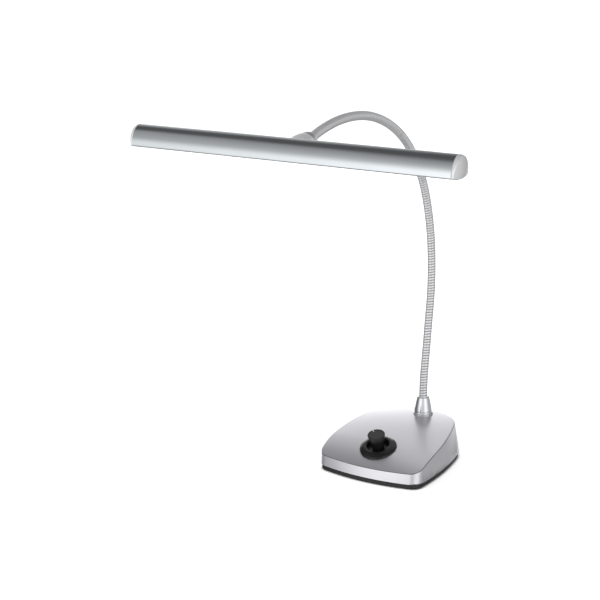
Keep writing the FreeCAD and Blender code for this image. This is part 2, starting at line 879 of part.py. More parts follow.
def end_cap(side):
    cap = head_bar(0, profile_end, half_length)
    outer_edges = [edge for edge in cap.Edges if edge.BoundBox.XMin > half_length - 0.01]
    cap = cap.makeFillet(end_cap_edge_radius, outer_edges)
    tongue = upper_hollow(head_wall + end_cap_clearance, profile_end - end_cap_tongue, profile_end)
    cap = cap.fuse(tongue)
    if side < 0:
        cap = cap.mirror(Vector(0, 0, 0), x_axis)
    return placed(cap, head_place)


def diffuser():
    start, end = -profile_end, profile_end
    half = diffuser_opening / 2 - diffuser_clearance
    below_lip = slab(-cut_overrun, lip_top + diffuser_clearance, half, start, end)
    strip = head_bar(0, start, end).common(below_lip)
    hollow = head_bar(diffuser_thickness, start, end).common(
        slab(-cut_overrun, cut_overrun, half - diffuser_thickness, start, end))
    strip = strip.cut(hollow)
    flange_half = diffuser_opening / 2 + diffuser_flange
    flange = slab(lip_top + diffuser_clearance, lip_top + diffuser_clearance + 1.0, flange_half, start, end)
    flange = flange.cut(slab(-cut_overrun, cut_overrun, half - diffuser_thickness, start - 1, end + 1))
    return placed(strip.fuse(flange), head_place)


def led_board():
    reach = profile_end - led_board_margin
    board = slab(web_height - led_board_thickness, web_height, led_board_width / 2, -reach, reach)
    return placed(board, head_place)


def leds():
    reach = profile_end - led_board_margin
    pitch = 2 * reach / led_count
    low = web_height - led_board_thickness - led_height
    chips = []
    for index in range(led_count):
        x = -reach + (index + 0.5) * pitch
        corner = Vector(x - led_length / 2, -led_width / 2, low)
        chips.append(Part.makeBox(led_length, led_width, led_height, corner))
    return placed(group(chips), head_place)


def boss_fairing():
    """Flared body that leads from the knuckle onto the back of the dome."""
    start = ferrule_length + boss_gap
    back, front = (boss_back_radius, start), (boss_front_radius, boss_front_reach)
    edges = [
        line((0, start), back),
        curve(back, (boss_middle_radius, (start + boss_front_reach) / 2), front),
        line(front, (0, boss_front_reach)),
        line((0, boss_front_reach), (0, start)),
    ]
    return turned(edges)


def head_boss():
    start = ferrule_length + boss_gap
    bearing_end = start + boss_bearing_length
    boss = boss_fairing().cut(cylinder(spigot_radius + running_clearance, 0, head_reach))
    boss = boss.cut(cylinder(boss_cavity_radius, bearing_end, bearing_end + boss_cavity_length))
    boss = boss.cut(cylinder(boss_wire_radius, bearing_end, head_reach))
    for at in boss_screw_positions():
        boss = boss.cut(cylinder(boss_screw_radius, boss_screw_low(), head_reach, at))
    boss = boss_local(boss).cut(head_bar(0, -2 * boss_front_radius, 2 * boss_front_radius))
    boss = boss.cut(slab(-head_reach, boss_low, head_reach, -2 * boss_front_radius, 2 * boss_front_radius))
    largest = max(boss.Solids, key=lambda solid: solid.Volume)
    return placed(largest, head_place)


def boss_screw_positions():
    return [(-boss_screw_x, boss_screw_y), (boss_screw_x, boss_screw_y)]


def boss_screw_seat():
    """Distance along the boss axis from which a screw head is clear of the inside of the dome."""
    frame = boss_place.inverse().multiply(head_place)
    hollow = upper_hollow(head_wall, -2 * boss_front_radius, 2 * boss_front_radius)
    seats = []
    for across, along in ((0, 1), (0, -1), (1, 0), (-1, 0)):
        foot = Vector(boss_screw_x, boss_screw_y, 0) + Vector(across, along, 0) * boss_screw_head_radius
        inside = boss_local(Part.makeLine(foot, foot + Vector(0, 0, head_reach))).common(hollow)
        seats.append(min(frame.multVec(vertex.Point).z for vertex in inside.Vertexes))
    return max(seats)


def boss_screw_low():
    return boss_screw_seat() - head_wall - boss_screw_depth


def boss_screws():
    seat = boss_screw_seat() + boss_screw_lift
    screws = []
    for at in boss_screw_positions():
        head = cylinder(boss_screw_head_radius, seat, seat + boss_screw_head_height, at)
        screws.append(head.fuse(cylinder(boss_screw_radius, boss_screw_low() + 0.5, seat, at)))
    return placed(group(screws), boss_place)


def build():
    os.makedirs("parts", exist_ok=True)
    save("base_shell", base_shell())
    save("base_plate", base_plate())
    save("anti_slip_pad", anti_slip_pad())
    save("base_screws", base_screws())
    save("ballast_plate", ballast_plate())
    save("ballast_screws", ballast_screws())
    save("driver_board", driver_board())
    save("board_standoffs", board_standoffs())
    save("board_screws", board_screws())
    save("board_parts", board_parts())
    save("knob_bezel", knob_bezel())
    save("dimmer_pot", dimmer_pot())
    save("pot_nut", pot_nut())
    save("pot_shaft", pot_shaft())
    save("dimmer_knob", dimmer_knob())
    save("knob_pointer", knob_pointer())
    save("dc_jack", dc_jack())
    save("jack_pin", jack_pin())
    save("neck_collar", neck_collar())
    save("neck_stud", neck_stud())
    save("stud_washer", stud_washer())
    save("stud_locknut", stud_locknut())
    save("neck_root", neck_root())
    for index in range(len(neck_bends)):
        save("neck_link_%d" % (index + 1), neck_link(index))
    save("neck_ferrule", neck_ferrule())
    save("swivel_clip", swivel_clip())
    save("head_profile", head_profile())
    save("end_cap_left", end_cap(-1))
    save("end_cap_right", end_cap(1))
    save("diffuser", diffuser())
    save("led_board", led_board())
    save("leds", leds())
    save("head_boss", head_boss())
    save("boss_screws", boss_screws())
    for index, place in enumerate(link_places):
        print("hinge %d at %s" % (index + 1, tuple(round(value, 3) for value in place.Base)))
    print("head origin", tuple(round(value, 3) for value in head_origin))
    print("knob axis at", tuple(round(value, 3) for value in knob_place.Base))


build()
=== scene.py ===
import json
import math
import bmesh
import bpy
from mathutils import Matrix, Vector


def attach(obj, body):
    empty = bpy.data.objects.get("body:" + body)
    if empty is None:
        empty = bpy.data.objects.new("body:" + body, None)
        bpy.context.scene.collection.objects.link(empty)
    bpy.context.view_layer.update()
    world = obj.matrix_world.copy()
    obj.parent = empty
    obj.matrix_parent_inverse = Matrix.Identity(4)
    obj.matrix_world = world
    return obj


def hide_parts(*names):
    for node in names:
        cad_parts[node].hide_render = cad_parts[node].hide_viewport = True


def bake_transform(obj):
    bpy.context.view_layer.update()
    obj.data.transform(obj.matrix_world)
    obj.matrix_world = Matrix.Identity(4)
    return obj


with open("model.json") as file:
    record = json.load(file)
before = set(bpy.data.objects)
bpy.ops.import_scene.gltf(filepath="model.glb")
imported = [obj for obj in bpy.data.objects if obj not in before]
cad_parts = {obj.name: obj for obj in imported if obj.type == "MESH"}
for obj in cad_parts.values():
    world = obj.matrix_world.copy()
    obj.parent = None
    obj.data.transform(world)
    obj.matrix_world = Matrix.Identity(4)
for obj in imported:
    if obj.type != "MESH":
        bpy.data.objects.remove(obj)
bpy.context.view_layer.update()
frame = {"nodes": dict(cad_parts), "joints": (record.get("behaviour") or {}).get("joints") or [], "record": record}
scene = bpy.context.scene
scene.view_settings.view_transform = "Standard"
solids = frame["nodes"]
joints = {joint["name"]: joint for joint in frame["joints"]}
nodeSlot = {part["node"]: part["material_slot"] for part in frame["record"]["subparts"]}
nodeBody = {node: body for body, members in frame["record"]["behaviour"]["bodies"].items()
            for node in members}
print("lamp: solids loaded")


def addNode(tree, kind, settings=None, inputs=None):
    node = tree.nodes.new(kind)
    for key, value in (settings or {}).items():
        setattr(node, key, value)
    for key, value in (inputs or {}).items():
        if isinstance(value, bpy.types.NodeSocket):
            tree.links.new(value, node.inputs[key])
        else:
            node.inputs[key].default_value = value
    return node


def mathNode(tree, operation, first, second=None, clamp=False):
    inputs = {0: first} if second is None else {0: first, 1: second}
    node = addNode(tree, "ShaderNodeMath", {"operation": operation, "use_clamp": clamp}, inputs)
    return node.outputs[0]


def vectorNode(tree, operation, first, second=None, output="Vector"):
    inputs = {0: first} if second is None else {0: first, 1: second}
    node = addNode(tree, "ShaderNodeVectorMath", {"operation": operation}, inputs)
    return node.outputs[output]


def ramp(tree, value, start, end, low=0.0, high=1.0, kind="SMOOTHSTEP"):
    node = addNode(tree, "ShaderNodeMapRange", {"interpolation_type": kind}, {
        "Value": value, "From Min": start, "From Max": end, "To Min": low, "To Max": high})
    return node.outputs[0]


def mixColor(tree, share, first, second):
    node = addNode(tree, "ShaderNodeMixRGB", inputs={
        "Fac": share, "Color1": first, "Color2": second})
    return node.outputs[0]


def splitVector(tree, vector):
    return addNode(tree, "ShaderNodeSeparateXYZ", inputs={0: vector}).outputs


def objectCoords(tree):
    return addNode(tree, "ShaderNodeTexCoord").outputs["Object"]


def newGroup(name, inputs, outputs, kind="ShaderNodeTree"):
    group = bpy.data.node_groups.new(name, kind)
    for label, socketType, value in inputs:
        socket = group.interface.new_socket(name=label, in_out="INPUT", socket_type=socketType)
        if value is not None:
            socket.default_value = value
    for label, socketType in outputs:
        group.interface.new_socket(name=label, in_out="OUTPUT", socket_type=socketType)
    source = group.nodes.new("NodeGroupInput").outputs
    return group, source, group.nodes.new("NodeGroupOutput").inputs


def useGroup(tree, group, inputs):
    return addNode(tree, "ShaderNodeGroup", {"node_tree": group}, inputs)


def newMaterial(name):
    material = bpy.data.materials.new(name)
    material.use_nodes = True
    material.node_tree.nodes.clear()
    return material, material.node_tree


def linkPiece(name, data):
    piece = bpy.data.objects.new(name, data)
    scene.collection.objects.link(piece)
    return piece


def quadMesh(name, corners, material):
    mesh = bpy.data.meshes.new(name)
    mesh.from_pydata([tuple(corner) for corner in corners], [], [(0, 1, 2, 3)])
    mesh.materials.append(material)
    return mesh


cameraSet = {"place": (0.7801, -1.4738, 0.6753), "turn": 31.78, "drop": 15.72, "roll": -0.37,
             "lens": 87.32, "sensor": 36.0, "far": 60.0}
cameraTurn = Matrix.Rotation(math.radians(cameraSet["turn"]), 4, "Z")


def addCamera():
    data = bpy.data.cameras.new("camera")
    data.lens = cameraSet["lens"]
    data.sensor_width = cameraSet["sensor"]
    data.clip_end = cameraSet["far"]
    camera = linkPiece("camera", data)
    drop = Matrix.Rotation(math.radians(90.0 - cameraSet["drop"]), 4, "X")
    roll = Matrix.Rotation(math.radians(cameraSet["roll"]), 4, "Z")
    camera.matrix_world = Matrix.Translation(cameraSet["place"]) @ cameraTurn @ drop @ roll
    scene.camera = camera


floorSet = {
    "size": 40.0,
    "paint": 0.85,  # as the camera sees it
    "bounce": 0.8,  # for the light that it throws back
    "lift": (0.6, 1.0), "clear": (0.12, 0.5),  # glow near the lamp and far off, and where it grows
    "touch": 0.0045, "crease": (0.45, 0.85), "samples": 8,  # painted contact shadow at the foot
}


def addFloor():
    material, tree = newMaterial("studioFloor")
    bounce, paint = (addNode(tree, "ShaderNodeBsdfDiffuse", inputs={
        "Color": (floorSet[key],) * 3 + (1,)}) for key in ("bounce", "paint"))
    away = vectorNode(tree, "LENGTH", objectCoords(tree), output="Value")
    clearing = ramp(tree, away, *floorSet["clear"], *floorSet["lift"])
    # painted contact shadow: near the foot the floor's glow is taken away, over its real shadow
    touch = addNode(tree, "ShaderNodeAmbientOcclusion", {"samples": floorSet["samples"]},
                    {"Distance": floorSet["touch"]})
    untouched = ramp(tree, touch.outputs["AO"], *floorSet["crease"])
    lift = addNode(tree, "ShaderNodeEmission", inputs={
        "Strength": mathNode(tree, "MULTIPLY", clearing, untouched)})
    white = addNode(tree, "ShaderNodeAddShader", inputs={0: paint.outputs[0], 1: lift.outputs[0]})
    path = addNode(tree, "ShaderNodeLightPath").outputs
    direct = mathNode(tree, "MAXIMUM", path["Is Camera Ray"], path["Is Transmission Ray"])
    mix = addNode(tree, "ShaderNodeMixShader", inputs={
        0: direct, 1: bounce.outputs[0], 2: white.outputs[0]})
    addNode(tree, "ShaderNodeOutputMaterial", inputs={"Surface": mix.outputs[0]})
    half = floorSet["size"] / 2
    corners = [(-half, -half, 0), (half, -half, 0), (half, half, 0), (-half, half, 0)]
    floor = linkPiece("floor", quadMesh("floor", corners, material))
    floor.visible_glossy = False  # polished parts see the studio cards instead


def addCard(name, corners, glowOf):  # seen only in polished surfaces
    material, tree = newMaterial(name)
    glow = addNode(tree, "ShaderNodeEmission", inputs={
        "Strength": glowOf(tree, splitVector(tree, objectCoords(tree)))})
    addNode(tree, "ShaderNodeOutputMaterial", inputs={"Surface": glow.outputs[0]})
    card = linkPiece(name, quadMesh(name, corners, material))
    card.visible_camera = False
    card.visible_diffuse = False
    card.visible_shadow = False


backCard = {"away": 0.95, "wide": 0.62, "foot": 0.001, "high": 0.95, "bright": (0.27, 0.4),
            "low": 2.4, "grey": 1.0, "gap": 0.1, "fade": 0.45}
topCard = {"corner": (-0.6, -0.12), "size": (0.78, 0.66), "high": 0.40, "slant": 0.35, "left": 0.1,
           "from": (-0.09, 0.16), "beyond": 2.2, "shares": (0.8, 0.2), "dark": 0.22, "light": 0.82}


def backGlow(tree, place):  # bright below, grey above
    low, high = backCard["bright"]
    grey = ramp(tree, place["Z"], low, high, backCard["low"], backCard["grey"])
    fade = ramp(tree, place["Z"], high + backCard["gap"], backCard["high"], 1.0, backCard["fade"])
    return mathNode(tree, "MULTIPLY", grey, fade)


def topGlow(tree, place):  # brighter towards the rear right
    fromLeft = mathNode(tree, "ADD", place["X"], topCard["left"])
    slanted = mathNode(tree, "MULTIPLY", fromLeft, topCard["slant"])
    along = mathNode(tree, "ADD", place["Y"], slanted)
    start, end = topCard["from"]
    dark, span = topCard["dark"], topCard["light"] - topCard["dark"]
    nearShare, farShare = topCard["shares"]
    near = ramp(tree, along, start, end, dark, dark + span * nearShare)
    far = ramp(tree, along, end, end * topCard["beyond"], 0.0, span * farShare)
    return mathNode(tree, "ADD", near, far)


def addCards():
    half, foot, head = backCard["wide"] / 2, backCard["foot"], backCard["high"]
    flat = [(-half, foot), (half, foot), (half, head), (-half, head)]
    addCard("backCard", [cameraTurn @ Vector((x, backCard["away"], z)) for x, z in flat], backGlow)
    x, y = topCard["corner"]
    wide, deep = topCard["size"]
    flat = [(x, y), (x + wide, y), (x + wide, y + deep), (x, y + deep)]
    addCard("topCard", [(a, b, topCard["high"]) for a, b in flat], topGlow)


studioSet = {"base": 0.13, "least": 0.02, "lookAt": (0.0, -0.06, 0.22)}
studioCards = [  # turn from the camera, height, half width, half height, softness, added light
    {"turn": -46.0, "height": -18.0, "wide": 28.0, "high": 42.0, "soft": 24.0, "light": 1.7},
    {"turn": 34.0, "height": -8.0, "wide": 30.0, "high": 38.0, "soft": 26.0, "light": 1.6},
    {"turn": 105.0, "height": -5.0, "wide": 30.0, "high": 30.0, "soft": 20.0, "light": 0.4},
    {"turn": 180.0, "height": -5.0, "wide": 38.0, "high": 22.0, "soft": 9.0, "light": 1.1},
    {"turn": -80.0, "height": 42.0, "wide": 24.0, "high": 14.0, "soft": 10.0, "light": 0.42},
    {"turn": -167.0, "height": 25.0, "wide": 14.0, "high": 15.0, "soft": 6.0, "light": 0.42},
    {"turn": -95.0, "height": -52.0, "wide": 42.0, "high": 26.0, "soft": 12.0, "light": 0.4},
    {"turn": 20.0, "height": 30.0, "wide": 55.0, "high": 24.0, "soft": 14.0, "light": 0.3},
    {"turn": 0.0, "height": -5.0, "wide": 200.0, "high": 22.0, "soft": 14.0, "light": 0.16},
]
lampSet = {
    "key": {"place": (-0.9, -1.3, 1.5), "size": 0.9, "power": 12.0},
    "fill": {"place": (1.6, -0.5, 1.2), "size": 1.1, "power": 5.0},
    "back": {"place": (-0.3, 1.5, 1.4), "size": 1.2, "power": 9.0},
}


def cardGroup():  # soft-edged patch of light at a turn and a height, in degrees
    group, source, result = newGroup("studioCard", [
        ("Turn", "NodeSocketFloat", 0.0), ("Height", "NodeSocketFloat", 0.0),
        ("Card Turn", "NodeSocketFloat", 0.0), ("Card Height", "NodeSocketFloat", 0.0),
        ("Half Wide", "NodeSocketFloat", 30.0), ("Half High", "NodeSocketFloat", 30.0),
        ("Soft", "NodeSocketFloat", 10.0)], [("Mask", "NodeSocketFloat")])
    apart = mathNode(group, "SUBTRACT", source["Turn"], source["Card Turn"])
    aside = mathNode(group, "PINGPONG", apart, 180.0)  # shortest way round
    lift = mathNode(group, "SUBTRACT", source["Height"], source["Card Height"])
    above = mathNode(group, "ABSOLUTE", lift)
    masks = []
    for value, half in ((aside, source["Half Wide"]), (above, source["Half High"])):
        low = mathNode(group, "SUBTRACT", half, source["Soft"])
        high = mathNode(group, "ADD", half, source["Soft"])
        masks.append(ramp(group, value, low, high, 1.0, 0.0))
    group.links.new(mathNode(group, "MULTIPLY", *masks), result["Mask"])
    return group


def addRoom():  # what polished parts see all round, with a white ground for the camera
    world = bpy.data.worlds.new("studio")
    world.use_nodes = True
    tree = world.node_tree
    tree.nodes.clear()
    ahead = addNode(tree, "ShaderNodeTexCoord").outputs["Generated"]
    turned = addNode(tree, "ShaderNodeVectorRotate", {"rotation_type": "Z_AXIS"},
                     {"Vector": ahead, "Angle": math.radians(-cameraSet["turn"])})
    place = splitVector(tree, turned.outputs[0])
    away = mathNode(tree, "MULTIPLY", place["Y"], -1.0)
    turn = mathNode(tree, "DEGREES", mathNode(tree, "ARCTAN2", place["X"], away))
    height = mathNode(tree, "DEGREES", mathNode(tree, "ARCSINE", place["Z"]))
    group = cardGroup()
    light = studioSet["base"]
    for card in studioCards:
        mask = useGroup(tree, group, {
            "Turn": turn, "Height": height, "Card Turn": card["turn"],
            "Card Height": card["height"], "Half Wide": card["wide"], "Half High": card["high"],
            "Soft": card["soft"]}).outputs[0]
        light = mathNode(tree, "ADD", light, mathNode(tree, "MULTIPLY", mask, card["light"]))
    light = mathNode(tree, "MAXIMUM", light, studioSet["least"])
    room = addNode(tree, "ShaderNodeBackground", inputs={"Strength": light})
    white = addNode(tree, "ShaderNodeBackground", inputs={"Color": (1, 1, 1, 1), "Strength": 1.0})
    path = addNode(tree, "ShaderNodeLightPath").outputs
    mix = addNode(tree, "ShaderNodeMixShader", inputs={
        0: path["Is Camera Ray"], 1: room.outputs[0], 2: white.outputs[0]})
    addNode(tree, "ShaderNodeOutputWorld", inputs={"Surface": mix.outputs[0]})
    scene.world = world


def addLamps():
    for name, item in lampSet.items():
        data = bpy.data.lights.new(name, "AREA")
        data.size = item["size"]
        data.energy = item["power"]
        lamp = linkPiece(name, data)
        lamp.location = item["place"]
        aim = Vector(studioSet["lookAt"]) - lamp.location
        lamp.rotation_euler = aim.to_track_quat("-Z", "Y").to_euler()
        lamp.visible_glossy = False


addCamera()
addFloor()
addCards()
addRoom()
addLamps()
print("lamp: camera and studio ready")


wearAndShadeSet = {
    "noiseRough": 0.6,
    "mottle": (0.3, 0.7),  # stretch of the mottle that takes up the whole range of gloss
    "grainShare": 0.3, "lineShare": 0.7,
    "dustUp": (0.6, 1.0), "specks": (0.58, 0.74), "speckScale": 900.0,
    # near-black tone for painted shade: in the neck's grooves, at the rear of the end caps and in the shell's
    # creases
    "grime": (0.05, 0.05, 0.055, 1), "dust": (0.55, 0.54, 0.52, 1),
}
# painted shade on the sloping fillets of the shell
creaseShadeSet = {"rise": (0.1, 0.3), "fall": (0.7, 0.8),  # slopes between the walls and the crown
           "knob": (0.0013, -0.0413, 0.0), "clear": (0.024, 0.028)}  # none round the bezel
# span of the painted shade that darkens the end caps towards the rear
capShade = {"front": -0.262, "rear": -0.226}


def grainGroup():  # fine grain for bump and a slow mottle for gloss
    group, source, result = newGroup("fineGrain", [
        ("Vector", "NodeSocketVector", None), ("Grain Size", "NodeSocketFloat", 0.0006),
        ("Mottle Size", "NodeSocketFloat", 0.03)],
        [("Grain", "NodeSocketFloat"), ("Mottle", "NodeSocketFloat")])
    for label, size, detail in (("Grain", "Grain Size", 2.0), ("Mottle", "Mottle Size", 4.0)):
        scale = mathNode(group, "DIVIDE", 1.0, source[size])
        noise = addNode(group, "ShaderNodeTexNoise", inputs={
            "Vector": source["Vector"], "Scale": scale, "Detail": detail,
            "Roughness": wearAndShadeSet["noiseRough"]})
        group.links.new(noise.outputs["Fac"], result[label])
    return group


def drawnGroup():  # fine lines drawn along the local X axis
    group, source, result = newGroup("drawnLines", [
        ("Vector", "NodeSocketVector", None), ("Length", "NodeSocketFloat", 0.05),
        ("Width", "NodeSocketFloat", 0.0003)], [("Lines", "NodeSocketFloat")])
    along = mathNode(group, "DIVIDE", 1.0, source["Length"])
    across = mathNode(group, "DIVIDE", 1.0, source["Width"])
    stretch = addNode(group, "ShaderNodeCombineXYZ", inputs={0: along, 1: across, 2: across})
    scaled = vectorNode(group, "MULTIPLY", source["Vector"], stretch.outputs[0])
    noise = addNode(group, "ShaderNodeTexNoise", inputs={
        "Vector": scaled, "Scale": 1.0, "Detail": 3.0})
    group.links.new(noise.outputs["Fac"], result["Lines"])
    return group


def dustGroup():  # faint dust that settles on faces that look up
    group, source, result = newGroup("settledDust", [
        ("Vector", "NodeSocketVector", None), ("Normal", "NodeSocketVector", None),
        ("Amount", "NodeSocketFloat", 0.1)], [("Mask", "NodeSocketFloat")])
    facing = splitVector(group, source["Normal"])["Z"]
    up = ramp(group, facing, *wearAndShadeSet["dustUp"], kind="LINEAR")
    noise = addNode(group, "ShaderNodeTexNoise", inputs={
        "Vector": source["Vector"], "Scale": wearAndShadeSet["speckScale"], "Detail": 3.0})
    few = ramp(group, noise.outputs["Fac"], *wearAndShadeSet["specks"], kind="LINEAR")
    mask = mathNode(group, "MULTIPLY", up, few)
    group.links.new(mathNode(group, "MULTIPLY", mask, source["Amount"], clamp=True),
                    result["Mask"])
    return group


fineGrain = grainGroup()
drawnLines = drawnGroup()
settledDust = dustGroup()


def creaseShadeMask(tree, coords, normal):  # painted shade in the crease of the shell
    up = splitVector(tree, normal)["Z"]
    mask = mathNode(tree, "MULTIPLY", ramp(tree, up, *creaseShadeSet["rise"]),
                    ramp(tree, up, *creaseShadeSet["fall"], 1.0, 0.0))
    flat = vectorNode(tree, "MULTIPLY", coords, (1.0, 1.0, 0.0))
    away = vectorNode(tree, "DISTANCE", flat, creaseShadeSet["knob"], output="Value")
    return mathNode(tree, "MULTIPLY", mask, ramp(tree, away, *creaseShadeSet["clear"]))


def surface(name, look):
    material, tree = newMaterial(name)
    coords = objectCoords(tree)
    normal = addNode(tree, "ShaderNodeNewGeometry").outputs["Normal"]
    grain = useGroup(tree, fineGrain, {
        "Vector": coords, "Grain Size": look.get("grain", 0.0006),
        "Mottle Size": look.get("mottle", 0.03)})
    height = grain.outputs["Grain"]
    if "lines" in look:
        lines = useGroup(tree, drawnLines, {
            "Vector": coords, "Length": look["lineLength"], "Width": look["lines"]}).outputs[0]
        height = mathNode(tree, "ADD", mathNode(tree, "MULTIPLY", height, wearAndShadeSet["grainShare"]),
                          mathNode(tree, "MULTIPLY", lines, wearAndShadeSet["lineShare"]))
    rough = ramp(tree, grain.outputs["Mottle"], *wearAndShadeSet["mottle"], *look["rough"], kind="LINEAR")
    dark, pale = look["color"]
    paint = mixColor(tree, height, dark + (1,), pale + (1,))
    # tone that paints shade into the colour
    grime = wearAndShadeSet["grime"]
    if "grooveShade" in look:  # painted shade in the grooves between the ribs
        dip = addNode(tree, "ShaderNodeAttribute", {"attribute_name": "dip"}).outputs["Fac"]
        deep = mathNode(tree, "MULTIPLY", dip, look["grooveShade"], clamp=True)
        paint = mixColor(tree, deep, paint, grime)
    if "shade" in look:  # painted shade: darker towards the rear
        rear = ramp(tree, splitVector(tree, coords)["Y"], capShade["front"], capShade["rear"],
                    0.0, look["shade"])
        paint = mixColor(tree, rear, paint, grime)
    # painted shade where the shell slopes between its walls and its crown
    if "creaseShade" in look:
        mask = mathNode(tree, "MULTIPLY", creaseShadeMask(tree, coords, normal), look["creaseShade"])
        paint = mixColor(tree, mask, paint, grime)
    dust = useGroup(tree, settledDust, {
        "Vector": coords, "Normal": normal, "Amount": look.get("dust", 0.05)})
    dusty = mixColor(tree, dust.outputs[0], paint, wearAndShadeSet["dust"])
    bump = addNode(tree, "ShaderNodeBump", inputs={
        "Strength": look.get("bump", 0.1), "Distance": look.get("depth", 0.0001),
        "Height": height})
    shader = addNode(tree, "ShaderNodeBsdfPrincipled", inputs={
        "Base Color": dusty, "Roughness": rough, "Normal": bump.outputs[0],
        "Metallic": look.get("metal", 0.0), "Coat Weight": look.get("coat", 0.0),
        "Coat Roughness": look.get("coatRough", 0.1),
        "Specular IOR Level": look.get("specular", 0.5)})
    addNode(tree, "ShaderNodeOutputMaterial", inputs={"Surface": shader.outputs[0]})
    return material


finishes = {
    "silverPaint": {"color": ((0.6, 0.595, 0.63), (0.68, 0.675, 0.71)), "metal": 0.75,
                    "rough": (0.28, 0.33), "grain": 0.0005, "bump": 0.06, "coat": 0.3,
                    "coatRough": 0.12, "dust": 0.04, "creaseShade": 0.85},
    "blackMoulding": {"color": ((0.012, 0.012, 0.013), (0.02, 0.02, 0.021)),
                      "rough": (0.42, 0.52), "grain": 0.0007, "bump": 0.15, "specular": 0.35},
    "bezelBlack": {"color": ((0.008, 0.008, 0.009), (0.013, 0.013, 0.014)),
                   "rough": (0.24, 0.32), "grain": 0.0005, "bump": 0.06, "specular": 0.35},
    "knobBlack": {"color": ((0.006, 0.006, 0.007), (0.012, 0.012, 0.013)),
                  "rough": (0.28, 0.36), "bump": 0.12, "dust": 0.1},
    "pointerWhite": {"color": ((0.72, 0.72, 0.7), (0.82, 0.82, 0.8)), "rough": (0.4, 0.5)},
    "foamPad": {"color": ((0.02, 0.02, 0.02), (0.05, 0.05, 0.05)), "rough": (0.85, 0.95),
                "grain": 0.0012, "bump": 0.5, "depth": 0.0004},
    "collarChrome": {"color": ((0.6, 0.61, 0.63), (0.68, 0.69, 0.71)), "metal": 1.0,
                     "rough": (0.16, 0.2), "grain": 0.0008, "bump": 0.02, "dust": 0.02},
    # the neck's grooves get painted shade
    "neckChrome": {"color": ((0.8, 0.805, 0.82), (0.88, 0.885, 0.9)), "metal": 0.45,
                   "rough": (0.26, 0.34), "grain": 0.0008, "bump": 0.04, "dust": 0.03,
                   "grooveShade": 1.0},
    "fittingChrome": {"color": ((0.62, 0.625, 0.64), (0.72, 0.725, 0.74)), "metal": 0.8,
                      "rough": (0.32, 0.4), "grain": 0.0008, "bump": 0.04},
    "anodised": {"color": ((0.6, 0.63, 0.65), (0.7, 0.735, 0.76)), "metal": 1.0,
                 "rough": (0.2, 0.26), "grain": 0.0005, "lines": 0.00025, "lineLength": 0.06,
                 "bump": 0.06, "dust": 0.03},
    "bossPaint": {"color": ((0.74, 0.745, 0.755), (0.82, 0.825, 0.835)), "metal": 0.3,
                  "rough": (0.26, 0.32), "grain": 0.0005, "bump": 0.06},
    # its shade paints the end caps darker towards the rear
    "capPaint": {"color": ((0.88, 0.885, 0.895), (0.95, 0.955, 0.965)), "metal": 0.3,
                 "rough": (0.24, 0.3), "grain": 0.0005, "bump": 0.06, "coat": 0.2,
                 "shade": 0.45},
    "opal": {"color": ((0.8, 0.8, 0.79), (0.86, 0.86, 0.85)), "rough": (0.35, 0.45),
             "grain": 0.002, "bump": 0.03},
    "steel": {"color": ((0.42, 0.42, 0.43), (0.55, 0.55, 0.56)), "metal": 1.0,
              "rough": (0.25, 0.4)},
    "primer": {"color": ((0.08, 0.08, 0.085), (0.13, 0.13, 0.135)), "rough": (0.6, 0.7),
               "bump": 0.2},
    "boardGreen": {"color": ((0.02, 0.1, 0.05), (0.03, 0.15, 0.07)), "rough": (0.35, 0.45)},
    "boardWhite": {"color": ((0.72, 0.72, 0.7), (0.8, 0.8, 0.78)), "rough": (0.4, 0.5)},
    "brassTurned": {"color": ((0.55, 0.4, 0.16), (0.66, 0.5, 0.22)), "metal": 1.0,
                    "rough": (0.25, 0.35)},
    "ledYellow": {"color": ((0.7, 0.6, 0.2), (0.8, 0.7, 0.3)), "rough": (0.3, 0.4)},
}
surfaces = {name: surface(name, look) for name, look in finishes.items()}
slotFinish = {
    "base_paint": "silverPaint", "base_black": "blackMoulding", "foam_pad": "foamPad",
    "fastener": "steel", "ballast": "primer", "circuit_board": "boardGreen",
    "brass_fitting": "brassTurned", "component_black": "blackMoulding",
    "component_metal": "steel", "bezel_black": "bezelBlack", "knob_black": "knobBlack",
    "pointer_white": "pointerWhite", "jack_black": "blackMoulding",
    "collar_chrome": "collarChrome", "neck_metal": "neckChrome",
    "neck_fitting": "fittingChrome", "head_aluminium": "anodised", "head_cap": "capPaint",
    "head_boss": "bossPaint", "diffuser": "opal", "led_board": "boardWhite",
    "led": "ledYellow",
}


def finishOf(node):
    return surfaces[slotFinish[nodeSlot[node]]]


for name, solid in solids.items():
    solid.data.materials.clear()
    solid.data.materials.append(finishOf(name))
print("lamp: finishes applied")


skinSet = {"weld": 0.000002, "sliver": 0.00004, "sharp": 28.0, "shellSharp": 60.0}
capSet = {"swell": 0.0024, "edge": 0.0008, "flat": 0.00005, "cuts": 5}


def keepShape(piece):  # what the modifiers make becomes a plain mesh
    evaluated = piece.evaluated_get(bpy.context.evaluated_depsgraph_get())
    plain = bpy.data.meshes.new_from_object(evaluated)
    piece.modifiers.clear()
    piece.data = plain


def takePlace(piece, node):  # on the body and in the place of a solid, which it hides
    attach(piece, nodeBody[node])
    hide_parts(node)


def triangulate(work):
    bmesh.ops.triangulate(work, faces=[face for face in work.faces if len(face.verts) > 3])


def smoothFaces(mesh, sharp):
    mesh.shade_smooth()
    mesh.set_sharp_from_angle(angle=math.radians(sharp))


